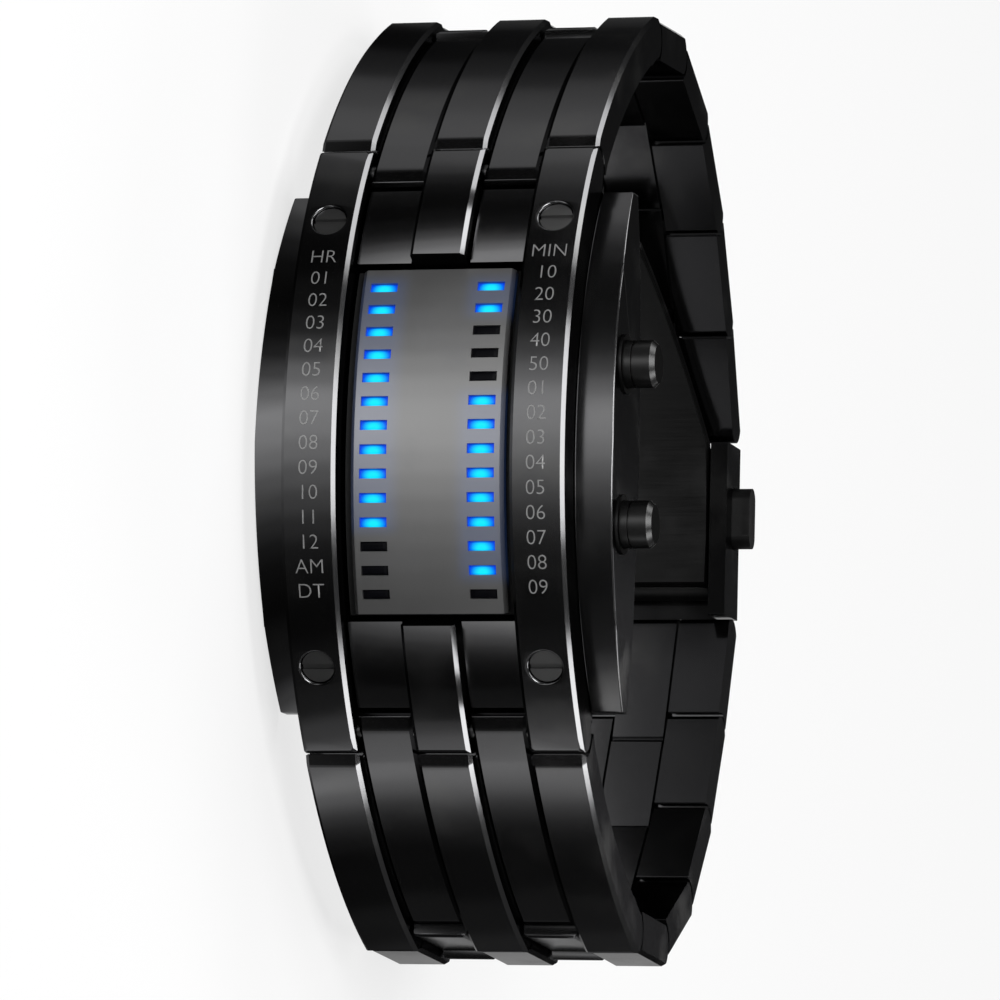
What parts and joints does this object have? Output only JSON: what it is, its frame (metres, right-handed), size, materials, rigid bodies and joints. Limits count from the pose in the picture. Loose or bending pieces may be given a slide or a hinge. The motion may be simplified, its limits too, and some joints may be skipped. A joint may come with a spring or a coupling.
{
  "type": "led watch",
  "caption": "All-black metal bracelet watch with a curved case, a smoked mirror display with columns of blue lamps, side pushers and a folding clasp.",
  "frame": {"origin": "centre of the overall box, on the plane that the watch lies on when it rests on its 9 o'clock side", "axes": "+Z towards the 3 o'clock side and its pushers, the display faces -Y, 12 o'clock lies towards -X"},
  "size_m": [0.0744, 0.0614, 0.0303],
  "materials": {
    "black_steel": "black plated and polished",
    "satin_black_steel": "black plated, fine satin",
    "pin_steel": "drawn steel",
    "screw_steel": "black plated, polished",
    "display_mirror": "smoked grey satin mirror",
    "black_plastic": "moulded, matt",
    "chip_plastic": "moulded resin",
    "blue_lamp": "clear blue lens",
    "board": "lacquered laminate",
    "cell_steel": "pressed steel can",
    "contact_brass": "stamped",
    "spring_steel": "drawn wire",
    "seal_rubber": "matt"
  },
  "bodies": {
    "case": {"case_frame": "black_steel", "rail_left": "black_steel", "rail_right": "black_steel", "bridge_top": "black_steel", "bridge_bottom": "black_steel", "side_bar_left": "black_steel", "side_bar_right": "black_steel", "rail_screws": "screw_steel", "display_plate": "display_mirror", "display_bezel": "black_plastic", "lamp_chips": "blue_lamp", "circuit_board": "board", "controller_chip": "chip_plastic", "quartz_crystal": "cell_steel", "battery_cells": "cell_steel", "battery_clip": "contact_brass", "movement_holder": "black_plastic", "case_back": "satin_black_steel", "case_back_gasket": "seal_rubber", "case_back_screws": "screw_steel", "pusher_sleeves": "black_steel", "pusher_seals": "seal_rubber", "case_pins": "pin_steel", "pusher_spring_upper": "spring_steel", "pusher_spring_lower": "spring_steel"},
    "pusher_upper": {"pusher_upper": "black_steel"},
    "pusher_lower": {"pusher_lower": "black_steel"},
    "link_a1": {"link_a1": "black_steel", "pin_a1": "pin_steel"},
    "link_a2": {"link_a2": "black_steel", "pin_a2": "pin_steel"},
    "link_a3": {"link_a3": "black_steel", "pin_a3": "pin_steel"},
    "link_a4": {"link_a4": "black_steel", "pin_a4": "pin_steel"},
    "link_a5": {"link_a5": "black_steel", "pin_a5": "pin_steel"},
    "link_a6": {"link_a6": "black_steel", "pin_a6": "pin_steel"},
    "link_b1": {"link_b1": "black_steel", "pin_b1": "pin_steel"},
    "link_b2": {"link_b2": "black_steel", "pin_b2": "pin_steel"},
    "link_b3": {"link_b3": "black_steel", "pin_b3": "pin_steel"},
    "link_b4": {"link_b4": "black_steel", "pin_b4": "pin_steel"},
    "link_b5": {"link_b5": "black_steel", "pin_b5": "pin_steel"},
    "link_b6": {"link_b6": "black_steel", "pin_b6": "pin_steel"},
    "clasp_cover": {"clasp_cover": "black_steel", "clasp_cover_pin": "pin_steel", "clasp_spring_left": "spring_steel", "clasp_spring_right": "spring_steel"},
    "clasp_middle_blade": {"clasp_middle_blade": "satin_black_steel"},
    "clasp_inner_blade": {"clasp_inner_blade": "satin_black_steel", "clasp_blade_pin": "pin_steel"},
    "clasp_button_left": {"clasp_button_left": "black_steel"},
    "clasp_button_right": {"clasp_button_right": "black_steel"}
  },
  "joints": [
    {"name": "link_a1_hinge", "type": "hinge", "parent": "case", "child": "link_a1", "pos_m": [-0.02127, -0.02157, 0.0139], "axis": [0, 0, 1], "range_deg": [0, 20]},
    {"name": "link_a2_hinge", "type": "hinge", "parent": "link_a1", "child": "link_a2", "pos_m": [-0.03498, -0.00315, 0.0139], "axis": [0, 0, 1], "range_deg": [0, 20]},
    {"name": "link_a3_hinge", "type": "hinge", "parent": "link_a2", "child": "link_a3", "pos_m": [-0.03553, 0.00593, 0.0139], "axis": [0, 0, 1], "range_deg": [0, 20]},
    {"name": "link_a4_hinge", "type": "hinge", "parent": "link_a3", "child": "link_a4", "pos_m": [-0.03175, 0.0142, 0.0139], "axis": [0, 0, 1], "range_deg": [0, 20]},
    {"name": "link_a5_hinge", "type": "hinge", "parent": "link_a4", "child": "link_a5", "pos_m": [-0.02525, 0.02057, 0.0139], "axis": [0, 0, 1], "range_deg": [0, 20]},
    {"name": "link_a6_hinge", "type": "hinge", "parent": "link_a5", "child": "link_a6", "pos_m": [-0.0174, 0.02518, 0.0139], "axis": [0, 0, 1], "range_deg": [0, 20]},
    {"name": "link_b1_hinge", "type": "hinge", "parent": "case", "child": "link_b1", "pos_m": [0.02127, -0.02157, 0.0139], "axis": [0, 0, -1], "range_deg": [0, 20]},
    {"name": "link_b2_hinge", "type": "hinge", "parent": "link_b1", "child": "link_b2", "pos_m": [0.03498, -0.00315, 0.0139], "axis": [0, 0, -1], "range_deg": [0, 20]},
    {"name": "link_b3_hinge", "type": "hinge", "parent": "link_b2", "child": "link_b3", "pos_m": [0.03553, 0.00593, 0.0139], "axis": [0, 0, -1], "range_deg": [0, 20]},
    {"name": "link_b4_hinge", "type": "hinge", "parent": "link_b3", "child": "link_b4", "pos_m": [0.03175, 0.0142, 0.0139], "axis": [0, 0, -1], "range_deg": [0, 20]},
    {"name": "link_b5_hinge", "type": "hinge", "parent": "link_b4", "child": "link_b5", "pos_m": [0.02525, 0.02057, 0.0139], "axis": [0, 0, -1], "range_deg": [0, 20]},
    {"name": "link_b6_hinge", "type": "hinge", "parent": "link_b5", "child": "link_b6", "pos_m": [0.0174, 0.02518, 0.0139], "axis": [0, 0, -1], "range_deg": [0, 20]},
    {"name": "clasp_cover_hinge", "type": "hinge", "parent": "link_a6", "child": "clasp_cover", "pos_m": [-0.00905, 0.0288, 0.0139], "axis": [0, 0, 1], "range_deg": [0, 30]},
    {"name": "clasp_middle_blade_hinge", "type": "hinge", "parent": "clasp_cover", "child": "clasp_middle_blade", "pos_m": [0.005, 0.02777, 0.0139], "axis": [0, 0, 1], "range_deg": [0, 80]},
    {"name": "clasp_inner_blade_hinge", "type": "hinge", "parent": "clasp_middle_blade", "child": "clasp_inner_blade", "pos_m": [-0.02193, 0.01609, 0.0139], "axis": [0, 0, -1], "range_deg": [0, 80]},
    {"name": "pusher_upper_press", "type": "slide", "parent": "case", "child": "pusher_upper", "axis": [0, 0, -1], "range_m": [0, 0.0008], "stiffness_N_per_m": 500, "springref_m": -0.0006, "deforming": ["pusher_spring_upper"]},
    {"name": "pusher_lower_press", "type": "slide", "parent": "case", "child": "pusher_lower", "axis": [0, 0, -1], "range_m": [0, 0.0008], "stiffness_N_per_m": 500, "springref_m": -0.0006, "deforming": ["pusher_spring_lower"]},
    {"name": "clasp_button_left_press", "type": "slide", "parent": "clasp_cover", "child": "clasp_button_left", "axis": [0, 0, 1], "range_m": [0, 0.001], "stiffness_N_per_m": 300, "springref_m": -0.001, "deforming": ["clasp_spring_left"]},
    {"name": "clasp_button_right_press", "type": "slide", "parent": "clasp_cover", "child": "clasp_button_right", "axis": [0, 0, -1], "range_m": [0, 0.001], "stiffness_N_per_m": 300, "springref_m": -0.001, "deforming": ["clasp_spring_right"]}
  ]
}
